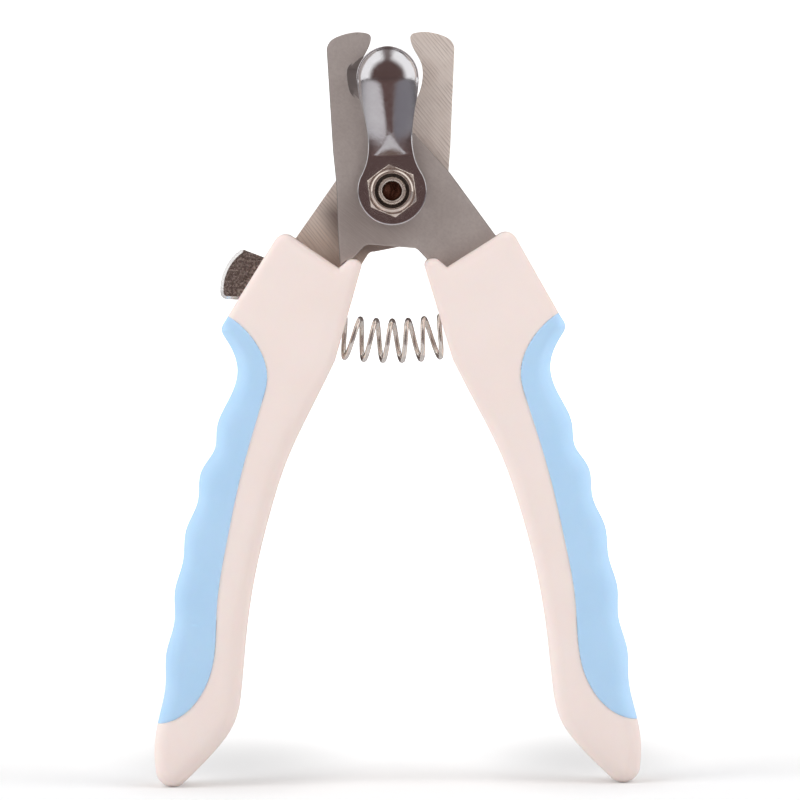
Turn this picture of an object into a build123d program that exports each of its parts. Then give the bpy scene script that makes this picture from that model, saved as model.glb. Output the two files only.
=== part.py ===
"""Plier-type pet nail clipper, modelled open and standing on its two handle tips.

Two matching notched blades cross at one bolt.  The front blade is the left jaw and
carries the right handle, the rear blade is the right jaw and carries the left handle.
X is to the right, Z is up and the nut side faces -Y.  The origin is the bottom centre.
Outlines are drawn with the pivot axis as (0, 0), for the right-hand side, and side = -1
mirrors them to the left.
"""
import os
from math import asin, cos, degrees, radians, sin, tan

from build123d import *

os.makedirs("parts", exist_ok=True)

RIGHT = 1
LEFT = -1

# Stations: the pivot above the handle tips, and the plane between the two blades
pivot_z = 102.9
mid_y = 1.3

# Blades
blade_thickness = 2.0
blade_gap = 0.02

# Pivot bolt, its nut and washers (M5)
bolt_r = 2.48
bolt_clear_r = 2.55
head_r = 4.75
head_height = 2.75
socket_across = 3.0
socket_depth = 1.6
washer_r = 5.0
washer_thickness = 1.0
nut_across = 8.0
nut_height = 5.0
nut_hex_height = 3.7
collar_r = 3.7
collar_mouth_r = 2.98
collar_lip = 0.3
nut_bevel_r = 4.05
nut_bevel_angle = 30
nut_turn = 37
insert_r = 3.3
insert_height = 1.1
bolt_end_below_nut = 0.35
bolt_cup_r = 1.66
bolt_cup_depth = 0.9

# Guard
guard_washer_r = 5.2
guard_washer_thickness = 0.6
guard_thickness = 1.0
guard_lean = 1.7
guard_reach = 19.55
guard_head_r = 5.4
guard_base_r = 6.0
guard_neck_half = 3.9
guard_neck_z = 7.2
dome_r = 5.0
dome_sink = 1.6
dome_wall = 0.9
dome_apex_z = 9.3

# Handles
handle_half = 6.0
grip_skin = 1.4
tip_centre = (39.0, -99.9)
tip_r = 3.0
tang_pin_r = 1.5
tang_pin_half = 3.6
tang_pin_places = ((16.6, -29.5), (22.2, -42.5))

# Return spring
spring_z = -25.7
spring_mean_r = 3.475
spring_wire_r = 0.425
spring_pitch = 3.03
spring_half_length = 12.0
spring_pocket_r = 4.3
spring_pocket_end = 12.7

# Thumb lock, in the left handle
lock_pin = (-20.5, -14.5)
lock_pin_r = 1.1
lock_clear_r = 1.16
lock_hub_r = 2.7
lock_thickness = 1.5
lock_play = 0.15
lock_washer_r = 2.6
lock_washer_thickness = 0.3
lock_pin_end = 4.5
lock_pocket_depth = 2.0
hub_pocket_r = 4.2
pawl_pocket = (10.75, -29, 71)
pad_pocket = (9.95, 116, 268)
heel_pocket = (5.4, 60, 94)

# Layers across the thickness
front_blade_y = mid_y - blade_thickness
guard_back_y = front_blade_y - guard_washer_thickness
guard_front_y = guard_back_y - guard_thickness
nut_front_y = guard_front_y - nut_height
rear_blade_y = mid_y + blade_thickness
head_seat_y = rear_blade_y + washer_thickness
bolt_end_y = nut_front_y + bolt_end_below_nut


def sheet(y):
    """Drawing plane at depth y: local X and Y are the object's X and Z, seen from the front."""
    return Plane(origin=(0, y, pivot_z), x_dir=(1, 0, 0), z_dir=(0, -1, 0))


def sided(side, *points):
    """The points as drawn for the right-hand side, or mirrored to the left."""
    return [(side * x, z) for x, z in points]


def on_circle(centre, radius, angle):
    """The point of a circle at an angle in degrees."""
    return (centre[0] + radius * cos(radians(angle)), centre[1] + radius * sin(radians(angle)))


# ---------------------------------------------------------------- outlines

notch = (9.35, -13.25)
bump_outer = (7.55, -11.7)
bump_inner = (5.05, -11.9)
bump_r = 1.2
top_corner = (20.35, -6.47)
top_corner_r = 2.0
# The left handle's peak and the tang inside it are a little narrower than the right's
outer_trim = {RIGHT: 0.0, LEFT: 1.15}
horn_start = (28.4, -21.0)
palm_start = (10.1, -29.2)
tip_angle = 226
horn_and_waist = ((29.1, -22.2), (29.75, -23.6), (28.9, -25.6), (27.1, -31.0), (28.5, -35.5))
finger_swells = ((30.8, -40.8), (33.6, -48.3), (36.3, -58.3), (38.35, -68.8), (39.95, -79.6), (41.5, -91.5))
finger_valleys = ((31.15, -44.2), (34.2, -53.3), (36.9, -63.7), (38.5, -74.2), (40.15, -85.0))
palm = (
    (33.6, -98.8),
    (30.2, -95.0),
    (28.1, -91.6),
    (27.1, -87.0),
    (26.1, -77.1),
    (24.3, -66.0),
    (21.45, -54.9),
    (18.65, -46.6),
    (14.7, -38.3),
)


def handle_outline(side):
    """The whole handle: straight top edge, horned outer edge with its finger swells."""
    peak_corner = (top_corner[0] - outer_trim[side], top_corner[1])
    tip_start = on_circle(tip_centre, tip_r, 0)
    tip_end = on_circle(tip_centre, tip_r, -360 + tip_angle)
    fingers = [finger_swells[0]]
    for valley, swell in zip(finger_valleys, finger_swells[1:]):
        fingers += [valley, swell]
    with BuildSketch() as outline:
        with BuildLine():
            Polyline(*sided(side, palm_start, bump_inner, bump_outer, notch, peak_corner, horn_start))
            Spline(*sided(side, horn_start, *horn_and_waist, *fingers, tip_start))
            ThreePointArc(*sided(side, tip_start, on_circle(tip_centre, tip_r, -67), tip_end))
            Spline(*sided(side, tip_end, *palm, palm_start))
        make_face()
        corners = outline.vertices()
        bumps = [v for v in corners if v.Y > -12.5 and abs(v.X) < 9]
        fillet(bumps, bump_r)
        peak = outline.vertices().sort_by(Axis.Y)[-1]
        fillet(peak, top_corner_r)
    return outline.sketch


def grip_region(side):
    """Everything outwards of the line where the soft grip meets the hard shells."""
    with BuildSketch() as outline:
        with BuildLine():
            Spline(
                *sided(
                    side,
                    (31.0, -20.3),
                    (28.6, -21.3),
                    (25.4, -23.9),
                    (22.6, -28.3),
                    (21.9, -32.1),
                    (22.7, -35.8),
                    (26.75, -49.4),
                    (29.2, -60.5),
                    (31.0, -71.6),
                    (32.4, -83.6),
                    (36.0, -89.3),
                    (44.0, -91.7),
                )
            )
            Polyline(*sided(side, (44.0, -91.7), (52.0, -91.7), (52.0, -20.3), (31.0, -20.3)))
        make_face()
    return outline.sketch


def core_region(side):
    """The hard core under the grip: it stays a skin's depth inside the outer edge."""
    with BuildSketch() as outline:
        with BuildLine():
            Spline(
                *sided(
                    side,
                    (24.0, -19.0),
                    (26.2, -23.5),
                    (25.4, -30.5),
                    (28.2, -38.5),
                    (31.8, -51.0),
                    (34.6, -63.0),
                    (36.4, -74.0),
                    (38.0, -84.5),
                    (39.4, -93.0),
                )
            )
            Polyline(*sided(side, (39.4, -93.0), (20.0, -93.0), (10.0, -40.0), (14.0, -19.0), (24.0, -19.0)))
        make_face()
    return outline.sketch


# The arch under the pivot is cut lower in the rear blade, whose handle is the left one
arch_corners = {
    RIGHT: ((8.8, -15.0), (4.4, -10.3), (4.0, -10.05), (3.4, -9.95)),
    LEFT: ((7.2, -15.5), (4.3, -11.0), (3.9, -10.68), (3.2, -10.55)),
}


def blade_outline(side):
    """One stamping: side is where its handle is, and the jaw is on the other side."""
    trim = outer_trim[side]
    inner_heel, arch_start, arch_bend, arch_end = arch_corners[side]
    foot = (-9.15, -12.93)
    foot_top = (-7.95, -11.92)
    foot_inner = (-6.8, -11.6)
    jaw_corner = (-11.05, 24.4)
    jaw_tip = (-3.9, 27.15)
    edge_start = (-3.4, 26.2)
    edge_end = (4.0, 9.8)
    with BuildSketch() as outline:
        with BuildLine():
            Polyline(*sided(side, foot, (-9.45, -6.8), (-9.6, 1.0), (-10.15, 7.0), jaw_corner))
            Spline(*sided(side, jaw_corner, (-10.3, 26.0), (-8.4, 26.95), (-6.2, 27.4), jaw_tip))
            ThreePointArc(*sided(side, jaw_tip, (-3.5, 26.8), edge_start))
            Spline(
                *sided(
                    side,
                    edge_start,
                    (-4.0, 24.4),
                    (-5.2, 22.1),
                    (-5.5, 20.2),
                    (-5.15, 17.8),
                    (-4.2, 15.5),
                    (-2.0, 13.0),
                    edge_end,
                )
            )
            Polyline(
                *sided(
                    side,
                    edge_end,
                    (10.1 - trim, 2.9),
                    (17.9 - trim, -8.0),
                    (22.6, -14.0),
                    (22.4, -18.0),
                    (21.4, -29.0),
                    (26.0, -45.0),
                )
            )
            ThreePointArc(*sided(side, (26.0, -45.0), (24.6, -48.2), (21.4, -46.8)))
            Polyline(*sided(side, (21.4, -46.8), (13.6, -30.5), (13.4, -21.0), inner_heel, arch_start))
            ThreePointArc(*sided(side, arch_start, arch_bend, arch_end))
            Line(*sided(side, arch_end, (-3.9, -9.25)))
            ThreePointArc(*sided(side, (-3.9, -9.25), (-4.6, -9.4), (-5.1, -9.8)))
            Polyline(*sided(side, (-5.1, -9.8), foot_inner, foot_top, foot))
        make_face()
    return outline.sketch


# ---------------------------------------------------------------- helpers


def disc(centre, radius, front_y, back_y, mode=Mode.ADD):
    """Add a disc to the current part between two depths, or drill one out of it."""
    with BuildSketch(sheet(back_y)) as profile:
        with Locations(centre):
            Circle(radius)
    extrude(profile.sketch, amount=back_y - front_y, mode=mode)


def slab(outline, front_y, back_y, mode=Mode.ADD):
    """Add an outline to the current part between two depths, or cut or keep that much."""
    with BuildSketch(sheet(back_y)) as profile:
        add(outline)
    extrude(profile.sketch, amount=back_y - front_y, mode=mode)


def sector(centre, radius, start, end):
    """A pie slice about a centre between two angles."""
    with BuildSketch() as slice_outline:
        with BuildLine():
            Line(centre, on_circle(centre, radius, start))
            CenterArc(centre, radius, start, end - start)
            Line(on_circle(centre, radius, end), centre)
        make_face()
    return slice_outline.sketch


def finish(part, name):
    """Label a finished piece and write its file."""
    part.label = name
    export_step(part, f"parts/{name}.step")


# ---------------------------------------------------------------- blades


def make_blade(side, back_y, pivot_r):
    """A flat blade, drilled for the bolt, the tang pins and the lock pin."""
    front_y = back_y - blade_thickness + blade_gap
    with BuildPart() as blade:
        slab(blade_outline(side), front_y, back_y)
        disc((0, 0), pivot_r, front_y, back_y, Mode.SUBTRACT)
        for place in sided(side, *tang_pin_places):
            disc(place, tang_pin_r, front_y, back_y, Mode.SUBTRACT)
        if side == LEFT:
            disc(lock_pin, lock_pin_r, front_y, back_y, Mode.SUBTRACT)
    return blade.part


finish(make_blade(RIGHT, mid_y - blade_gap, bolt_clear_r), "front_blade")
finish(make_blade(LEFT, rear_blade_y, bolt_r), "rear_blade")


# ---------------------------------------------------------------- pivot bolt, nut and washers

with BuildPart() as pivot_bolt:
    disc((0, 0), bolt_r, bolt_end_y, head_seat_y)
    chamfer(pivot_bolt.edges().filter_by(GeomType.CIRCLE).group_by(Axis.Y)[0], 0.25)
    disc((0, 0), bolt_cup_r, bolt_end_y, bolt_end_y + bolt_cup_depth, Mode.SUBTRACT)
    disc((0, 0), head_r, head_seat_y, head_seat_y + head_height)
    fillet(pivot_bolt.edges().group_by(Axis.Y)[-1], 1.6)
    with BuildSketch(sheet(head_seat_y + head_height)):
        RegularPolygon(socket_across / 2, 6, major_radius=False)
    extrude(amount=socket_depth, mode=Mode.SUBTRACT)
finish(pivot_bolt.part, "pivot_bolt")

nut_hex_y = guard_front_y - nut_hex_height
insert_front_y = nut_front_y + collar_lip
insert_back_y = insert_front_y + insert_height
with BuildPart() as pivot_nut:
    with BuildSketch(sheet(guard_front_y)):
        RegularPolygon(nut_across / 2, 6, major_radius=False, rotation=nut_turn)
    extrude(amount=nut_hex_height)
    with BuildSketch(Plane(origin=(0, 0, pivot_z), x_dir=(1, 0, 0), z_dir=(0, 0, 1))) as cone:
        with BuildLine():
            Polyline(
                (0, guard_front_y),
                (nut_across, guard_front_y),
                (nut_across, nut_hex_y + (nut_across - nut_bevel_r) * tan(radians(nut_bevel_angle))),
                (nut_bevel_r, nut_hex_y),
                (0, nut_hex_y),
                (0, guard_front_y),
            )
        make_face()
    revolve(cone.sketch, axis=Axis((0, 0, pivot_z), (0, 1, 0)), mode=Mode.INTERSECT)
    disc((0, 0), collar_r, nut_front_y, nut_hex_y)
    fillet(pivot_nut.edges().filter_by(GeomType.CIRCLE).group_by(Axis.Y)[0], 0.45)
    disc((0, 0), bolt_r, nut_front_y, guard_front_y, Mode.SUBTRACT)
    disc((0, 0), insert_r, insert_front_y, insert_back_y, Mode.SUBTRACT)
    disc((0, 0), collar_mouth_r, nut_front_y, insert_front_y, Mode.SUBTRACT)
finish(pivot_nut.part, "pivot_nut")

with BuildPart() as nut_locking_ring:
    disc((0, 0), insert_r, insert_front_y, insert_back_y)
    disc((0, 0), bolt_r, insert_front_y, insert_back_y, Mode.SUBTRACT)
finish(nut_locking_ring.part, "nut_locking_ring")

with BuildPart() as head_washer:
    disc((0, 0), washer_r, rear_blade_y, head_seat_y)
    chamfer(head_washer.edges(), 0.2)
    disc((0, 0), bolt_r, rear_blade_y, head_seat_y, Mode.SUBTRACT)
finish(head_washer.part, "head_washer")

with BuildPart() as guard_washer:
    disc((0, 0), guard_washer_r, guard_back_y, front_blade_y)
    disc((0, 0), bolt_r, guard_back_y, front_blade_y, Mode.SUBTRACT)
finish(guard_washer.part, "guard_washer")


# ---------------------------------------------------------------- guard


def dome_profile(shrink):
    """Half of the dome's teardrop: a round end drawn out to an apex towards the pivot."""
    radius = dome_r - shrink
    flank = asin(dome_r / (guard_reach - dome_apex_z))
    apex = guard_reach - radius / sin(flank)
    tangent = on_circle((0, guard_reach), radius, -degrees(flank))
    with BuildSketch() as outline:
        with BuildLine():
            Line((0, apex), tangent)
            ThreePointArc(tangent, on_circle((0, guard_reach), radius, 30), (0, guard_reach + radius))
            Line((0, guard_reach + radius), (0, apex))
        make_face()
    return outline.sketch


def pear_outline():
    """The flat pressing: a round head and a round base joined by a waisted neck."""
    with BuildSketch() as outline:
        Circle(guard_base_r)
        with Locations((0, guard_reach)):
            Circle(guard_head_r)
        with BuildLine():
            flank = ((5.2, 3.0), (guard_neck_half, guard_neck_z), (4.4, 13.0), (5.35, guard_reach - 0.7))
            left_flank = sided(LEFT, *flank)
            right_flank = sided(RIGHT, *flank)
            Spline(*left_flank)
            Line(left_flank[-1], right_flank[-1])
            Spline(*right_flank)
            Line(right_flank[0], left_flank[0])
        make_face()
    return outline.sketch


dome_axis_y = guard_front_y + dome_sink
dome_axis = Axis((0, dome_axis_y, pivot_z), (0, 0, 1))
with BuildPart() as guard:
    slab(pear_outline(), guard_front_y, guard_back_y)
    with BuildSketch(sheet(dome_axis_y)) as dome_outside:
        add(dome_profile(0))
    revolve(dome_outside.sketch, axis=dome_axis)
    with BuildSketch(sheet(dome_axis_y)) as dome_inside:
        add(dome_profile(dome_wall))
    revolve(dome_inside.sketch, axis=dome_axis, mode=Mode.SUBTRACT)
    split(bisect_by=sheet(guard_back_y), keep=Keep.TOP)
    disc((0, 0), bolt_clear_r, guard_front_y, guard_back_y, Mode.SUBTRACT)
finish(guard.part.rotate(Axis((0, 0, pivot_z), (0, -1, 0)), guard_lean), "guard")


# ---------------------------------------------------------------- handles

handle_front_y = mid_y - handle_half
handle_back_y = mid_y + handle_half


def make_grip(side):
    """The soft grip wraps the outer edge and laps the front and back of the hard core."""
    with BuildPart() as grip:
        slab(handle_outline(side), handle_front_y, handle_back_y)
        slab(grip_region(side), handle_front_y, handle_back_y, Mode.INTERSECT)
        slab(core_region(side), handle_front_y + grip_skin, handle_back_y - grip_skin, Mode.SUBTRACT)
    return grip.part


def make_shell(side, front_y, back_y, tang_front_y):
    """Half of a hard handle; tang_front_y is None in the half that holds no tang."""
    with BuildPart() as shell:
        slab(handle_outline(side), handle_front_y, handle_back_y)
        slab(grip_region(side), handle_front_y, handle_back_y, Mode.SUBTRACT)
        with BuildSketch() as core:
            add(handle_outline(side))
            add(core_region(side), mode=Mode.INTERSECT)
        slab(core.sketch, handle_front_y + grip_skin, handle_back_y - grip_skin)
        slab(handle_outline(side), front_y, back_y, Mode.INTERSECT)
        if tang_front_y is not None:
            slab(blade_outline(side), tang_front_y, tang_front_y + blade_thickness, Mode.SUBTRACT)
        with BuildSketch(
            Plane(origin=(side * spring_pocket_end, mid_y, pivot_z + spring_z), z_dir=(-side, 0, 0))
        ):
            Circle(spring_pocket_r)
        extrude(amount=spring_pocket_end, mode=Mode.SUBTRACT)
        for place in sided(side, *tang_pin_places):
            disc(place, tang_pin_r, mid_y - tang_pin_half, mid_y + tang_pin_half, Mode.SUBTRACT)
    return shell


def make_tang_pins(side):
    """Two steel pins tie the tang to both halves of its handle."""
    with BuildPart() as pins:
        for place in sided(side, *tang_pin_places):
            disc(place, tang_pin_r, mid_y - tang_pin_half, mid_y + tang_pin_half)
    return pins.part


left_front_shell = make_shell(LEFT, handle_front_y, mid_y, None)
with BuildPart() as locked_shell:
    add(left_front_shell.part)
    disc(lock_pin, hub_pocket_r, mid_y - lock_pocket_depth, mid_y, Mode.SUBTRACT)
    for pocket in (pawl_pocket, pad_pocket, heel_pocket):
        slab(sector(lock_pin, *pocket), mid_y - lock_pocket_depth, mid_y, Mode.SUBTRACT)
    disc(lock_pin, lock_pin_r, mid_y - lock_pin_end, mid_y, Mode.SUBTRACT)
finish(locked_shell.part, "left_front_shell")
finish(make_shell(LEFT, mid_y, handle_back_y, mid_y).part, "left_rear_shell")
finish(make_shell(RIGHT, handle_front_y, mid_y, front_blade_y).part, "right_front_shell")
finish(make_shell(RIGHT, mid_y, handle_back_y, None).part, "right_rear_shell")

for name, side in (("left", LEFT), ("right", RIGHT)):
    finish(make_grip(side), f"{name}_grip")
    finish(make_tang_pins(side), f"{name}_tang_pins")


# ---------------------------------------------------------------- return spring

with BuildPart() as return_spring:
    with BuildLine() as coil:
        Helix(
            spring_pitch,
            2 * spring_half_length,
            spring_mean_r,
            center=(-spring_half_length, mid_y, pivot_z + spring_z),
            direction=(1, 0, 0),
        )
    with BuildSketch(Plane(origin=coil.line @ 0, z_dir=coil.line % 0)):
        Circle(spring_wire_r)
    sweep(is_frenet=True)
finish(return_spring.part, "return_spring")


# ---------------------------------------------------------------- thumb lock

lock_back_y = mid_y - lock_play
lock_front_y = lock_back_y - lock_thickness
lock_pocket_y = mid_y - lock_pocket_depth

with BuildPart() as lock_lever:
    with BuildSketch(sheet(lock_back_y)):
        with BuildLine():
            Line((-22.0, -11.4), (-25.6, -10.0))
            ThreePointArc((-25.6, -10.0), (-26.1, -9.95), (-26.6, -10.2))
            ThreePointArc((-26.6, -10.2), (-29.1, -13.3), (-29.9, -17.2))
            ThreePointArc((-29.9, -17.2), (-29.6, -18.1), (-28.8, -18.5))
            Polyline((-28.8, -18.5), (-26.8, -18.6), (-22.4, -16.8), (-18.0, -16.6), (-11.9, -15.0))
            Polyline((-11.9, -15.0), (-10.05, -13.15), (-10.75, -12.65), (-17.8, -11.6), (-22.0, -11.4))
        make_face()
        with Locations(lock_pin):
            Circle(lock_hub_r)
            Circle(lock_clear_r, mode=Mode.SUBTRACT)
    extrude(amount=lock_thickness)
finish(lock_lever.part, "lock_lever")

with BuildPart() as lock_pivot_pin:
    disc(lock_pin, lock_pin_r, mid_y - lock_pin_end, rear_blade_y)
finish(lock_pivot_pin.part, "lock_pivot_pin")

with BuildPart() as lock_friction_washer:
    disc(lock_pin, lock_washer_r, lock_pocket_y, lock_pocket_y + lock_washer_thickness)
    disc(lock_pin, lock_pin_r, lock_pocket_y, lock_pocket_y + lock_washer_thickness, Mode.SUBTRACT)
finish(lock_friction_washer.part, "lock_friction_washer")
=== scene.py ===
"""Blender scene of the plier-type pet nail clipper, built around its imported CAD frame.

Shapes are made in millimetres from the outlines of the CAD nodes and scaled to metres
when they are placed.  A flat point is (x, z) as seen from the front, and a depth is y.
"""
from math import cos, pi, radians, sin, sqrt, tan

import bmesh
import bpy
import numpy as np
from mathutils import Matrix, Vector, geometry


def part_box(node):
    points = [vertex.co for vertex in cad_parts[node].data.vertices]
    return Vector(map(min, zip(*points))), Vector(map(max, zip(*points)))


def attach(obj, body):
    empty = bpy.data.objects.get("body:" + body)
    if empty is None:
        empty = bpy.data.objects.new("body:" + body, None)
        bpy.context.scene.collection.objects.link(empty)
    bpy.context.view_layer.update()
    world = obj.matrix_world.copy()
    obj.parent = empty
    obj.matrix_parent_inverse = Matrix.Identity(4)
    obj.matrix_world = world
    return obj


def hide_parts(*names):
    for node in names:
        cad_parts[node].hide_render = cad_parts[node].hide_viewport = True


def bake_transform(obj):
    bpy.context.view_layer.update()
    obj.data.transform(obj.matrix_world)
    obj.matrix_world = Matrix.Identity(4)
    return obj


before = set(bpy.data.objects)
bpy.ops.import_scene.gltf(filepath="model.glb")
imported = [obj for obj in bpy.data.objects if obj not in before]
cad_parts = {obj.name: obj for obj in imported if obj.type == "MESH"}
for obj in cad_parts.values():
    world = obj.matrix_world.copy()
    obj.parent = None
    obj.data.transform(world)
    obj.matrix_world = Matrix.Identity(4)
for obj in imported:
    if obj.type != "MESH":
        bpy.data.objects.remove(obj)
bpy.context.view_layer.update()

MM = 0.001


def corner_mm(node, which):
    """The lowest (0) or highest (1) corner of a CAD node's box, in millimetres."""
    return np.array(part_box(node)[which]) / MM


def depths(node):
    """The front and back depth of a CAD node, in millimetres."""
    return corner_mm(node, 0)[1], corner_mm(node, 1)[1]


mid_y = corner_mm("left_front_shell", 1)[1]
handle_half = corner_mm("left_rear_shell", 1)[1] - mid_y
pivot_z = (corner_mm("head_washer", 0)[2] + corner_mm("head_washer", 1)[2]) / 2
guard_back = corner_mm("guard_washer", 0)[1]


# ---------------------------------------------------------------- flat geometry


def smooth_step(value, low, high):
    """0 below low, 1 above high, and a smooth change between them."""
    share = np.clip((value - low) / (high - low), 0, 1)
    return share * share * (3 - 2 * share)


def welded(node):
    """A CAD node's closed mesh in millimetres, with the seams between its faces joined."""
    shape = bmesh.new()
    shape.from_mesh(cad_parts[node].data)
    bmesh.ops.scale(shape, vec=(1 / MM,) * 3, verts=shape.verts)
    bmesh.ops.remove_doubles(shape, verts=shape.verts, dist=0.0005)
    return shape


def signed_area(loop):
    """Positive for a loop that runs anticlockwise as seen from the front."""
    x, z = loop.T
    return 0.5 * float(np.sum(x * np.roll(z, -1) - np.roll(x, -1) * z))


def chained(following):
    """Closed rings of indices from a table of what comes after each index."""
    rings = []
    while following:
        ring = [next(iter(following))]
        while ring[-1] in following:
            ring.append(following.pop(ring[-1]))
        rings.append(ring[:-1])
    return rings


def outlines(node, depth):
    """The outlines of a CAD node's flat faces at one depth, the outer one first."""
    shape = welded(node)
    flat = [f for f in shape.faces if all(abs(v.co.y - depth) < 0.002 for v in f.verts)]
    inside = set(flat)
    following = {}
    for face in flat:
        for corner in face.loops:
            if not any(f in inside for f in corner.edge.link_faces if f is not face):
                following[corner.vert.index] = corner.link_loop_next.vert.index
    shape.verts.ensure_lookup_table()
    loops = []
    for ring in chained(following):
        loops.append(np.array([(shape.verts[i].co.x, shape.verts[i].co.z) for i in ring]))
    shape.free()
    loops.sort(key=lambda loop: -abs(signed_area(loop)))
    if signed_area(loops[0]) < 0:
        loops = [loop[::-1] for loop in loops]
    return loops


def divided(loop, step, closed=True):
    """The same outline with its long stretches divided evenly."""
    ends = np.roll(loop, -1, axis=0) if closed else loop[1:]
    points = []
    for start, end in zip(loop, ends):
        count = max(1, int(np.ceil(np.linalg.norm(end - start) / step)))
        for k in range(count):
            points.append(start + (end - start) * k / count)
    if not closed:
        points.append(loop[-1])
    return np.array(points)


def segments(loops):
    """The starts and ends of the straight stretches of closed outlines."""
    starts = np.vstack(loops)
    ends = np.vstack([np.roll(loop, -1, axis=0) for loop in loops])
    return starts, ends


def distance(points, starts, ends):
    """How far each point is from the nearest of some straight stretches."""
    along = ends - starts
    length2 = np.maximum((along**2).sum(1), 1e-12)
    nearest = []
    for block in np.array_split(points, max(1, len(points) // 400)):
        offset = block[:, None, :] - starts[None]
        share = np.clip((offset * along).sum(2) / length2, 0, 1)
        gap = offset - share[..., None] * along
        nearest.append(np.sqrt((gap**2).sum(2).min(1)))
    return np.concatenate(nearest)


def enclosed(points, loops):
    """Whether each point lies inside the outlines, with holes left out."""
    starts, ends = segments(loops)
    inside = np.zeros(len(points), bool)
    for (x0, z0), (x1, z1) in zip(starts, ends):
        if z0 == z1:
            continue
        crosses = (points[:, 1] < z0) != (points[:, 1] < z1)
        reach = x0 + (points[:, 1] - z0) * (x1 - x0) / (z1 - z0)
        inside ^= crosses & (points[:, 0] < reach)
    return inside


def inward(loop):
    """Unit normals that point into the material of an outline."""
    ahead = np.roll(loop, -1, axis=0) - loop
    ahead /= np.linalg.norm(ahead, axis=1)[:, None]
    mean = ahead + np.roll(ahead, 1, axis=0)
    mean /= np.maximum(np.linalg.norm(mean, axis=1), 1e-9)[:, None]
    return np.column_stack([-mean[:, 1], mean[:, 0]])


def lattice(low, high, step):
    """Points of an even triangular grid over a rectangle."""
    rows = np.arange(low[1], high[1], step * sqrt(3) / 2)
    points = []
    for k, z in enumerate(rows):
        points += [(x, z) for x in np.arange(low[0] + (k % 2) * step / 2, high[0], step)]
    return np.array(points)


def seeds(loops, rings, step):
    """Inner points for a face: rings at set distances from its outlines, then a grid."""
    starts, ends = segments(loops)
    found = []
    for depth in rings:
        ring = np.vstack([loop + inward(loop) * depth for loop in loops])
        found.append(ring[distance(ring, starts, ends) > 0.96 * depth])
    grid = lattice(loops[0].min(0), loops[0].max(0), step)
    found.append(grid[distance(grid, starts, ends) > rings[-1] + 0.5 * step])
    found = np.vstack(found)
    return found[enclosed(found, loops)]


def filled(loops, inner):
    """A triangulated face: its points, and its triangles anticlockwise from the front."""
    points, edges = [], []
    for loop in loops:
        first = len(points)
        points += [Vector(p) for p in loop]
        edges += [(first + k, first + (k + 1) % len(loop)) for k in range(len(loop))]
    points += [Vector(p) for p in inner]
    made = geometry.delaunay_2d_cdt(points, edges, [], 0, 1e-4)
    flat = np.array([tuple(p) for p in made[0]])
    triangles = np.array([t for t in made[2] if len(t) == 3])
    triangles = triangles[enclosed(flat[triangles].mean(1), loops)]
    a, b, c = (flat[triangles[:, k]] for k in range(3))
    turn = (b[:, 0] - a[:, 0]) * (c[:, 1] - a[:, 1]) - (b[:, 1] - a[:, 1]) * (c[:, 0] - a[:, 0])
    triangles[turn < 0] = triangles[turn < 0][:, ::-1]
    used, triangles = np.unique(triangles, return_inverse=True)
    return flat[used], triangles.reshape(-1, 3)


def borders(triangles):
    """The rings of points round the open edges of a triangulated face."""
    pairs = {(t[k], t[(k + 1) % 3]) for t in triangles.tolist() for k in range(3)}
    return chained({a: b for a, b in pairs if (b, a) not in pairs})


def pivot_distance(points):
    """How far flat points are from the pivot axis."""
    return np.hypot(points[:, 0], points[:, 1] - pivot_z)


def circle_points(radius, count):
    """Evenly spaced points of a circle about the pivot axis."""
    turn = 2 * pi * np.arange(count) / count
    return np.column_stack([radius * np.cos(turn), pivot_z + radius * np.sin(turn)])


# ---------------------------------------------------------------- solids


def add_object(name, points, faces):
    """A new object in the scene, from its points and faces."""
    mesh = bpy.data.meshes.new(name)
    mesh.from_pydata([tuple(p) for p in points], [], faces)
    made = bpy.data.objects.new(name, mesh)
    bpy.context.scene.collection.objects.link(made)
    return made


def faces_outwards(mesh):
    """Turns every face of a closed mesh to the outside."""
    shape = bmesh.new()
    shape.from_mesh(mesh)
    bmesh.ops.recalc_face_normals(shape, faces=shape.faces)
    shape.to_mesh(mesh)
    shape.free()


def slab(name, face, front, back, belts=()):
    """A closed solid between a front and a back depth, given for each point of a face.

    A belt is a ring round the side wall: how far it is let in, and where between the
    front (0) and the back (1) it lies."""
    flat, triangles = face
    count = len(flat)
    points = [np.column_stack([flat[:, 0], front, flat[:, 1]])]
    points.append(np.column_stack([flat[:, 0], back, flat[:, 1]]))
    faces = [tuple(t) for t in triangles.tolist()]
    faces += [tuple(count + i for i in reversed(t)) for t in triangles.tolist()]
    total = 2 * count
    for ring in borders(triangles):
        ring = np.array(ring)
        edge = flat[ring]
        into = inward(edge)
        levels = [ring]
        for inset, share in belts:
            depth = front[ring] + (back[ring] - front[ring]) * share
            moved = edge + into * inset
            points.append(np.column_stack([moved[:, 0], depth, moved[:, 1]]))
            levels.append(np.arange(total, total + len(ring)))
            total += len(ring)
        levels.append(ring + count)
        for upper, lower in zip(levels, levels[1:]):
            quads = np.column_stack([np.roll(upper, -1), upper, lower, np.roll(lower, -1)])
            faces += [tuple(q) for q in quads.tolist()]
    return add_object(name, np.vstack(points).tolist(), faces)


def lathe(name, profile, count=112):
    """A closed solid turned about the pivot axis from (radius, depth) pairs, axis to axis."""
    points = [(0, profile[0][1], pivot_z)]
    inner = profile[1:-1]
    for radius, depth in inner:
        points += [(x, depth, z) for x, z in circle_points(radius, count)]
    points.append((0, profile[-1][1], pivot_z))
    last_ring = 1 + (len(inner) - 1) * count
    faces = []
    for k in range(count):
        after = (k + 1) % count
        faces.append((0, 1 + k, 1 + after))
        for a in range(1, last_ring, count):
            b = a + count
            faces.append((a + k, b + k, b + after, a + after))
        faces.append((last_ring + k, len(points) - 1, last_ring + after))
    piece = add_object(name, points, faces)
    faces_outwards(piece.data)
    return piece


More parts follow.
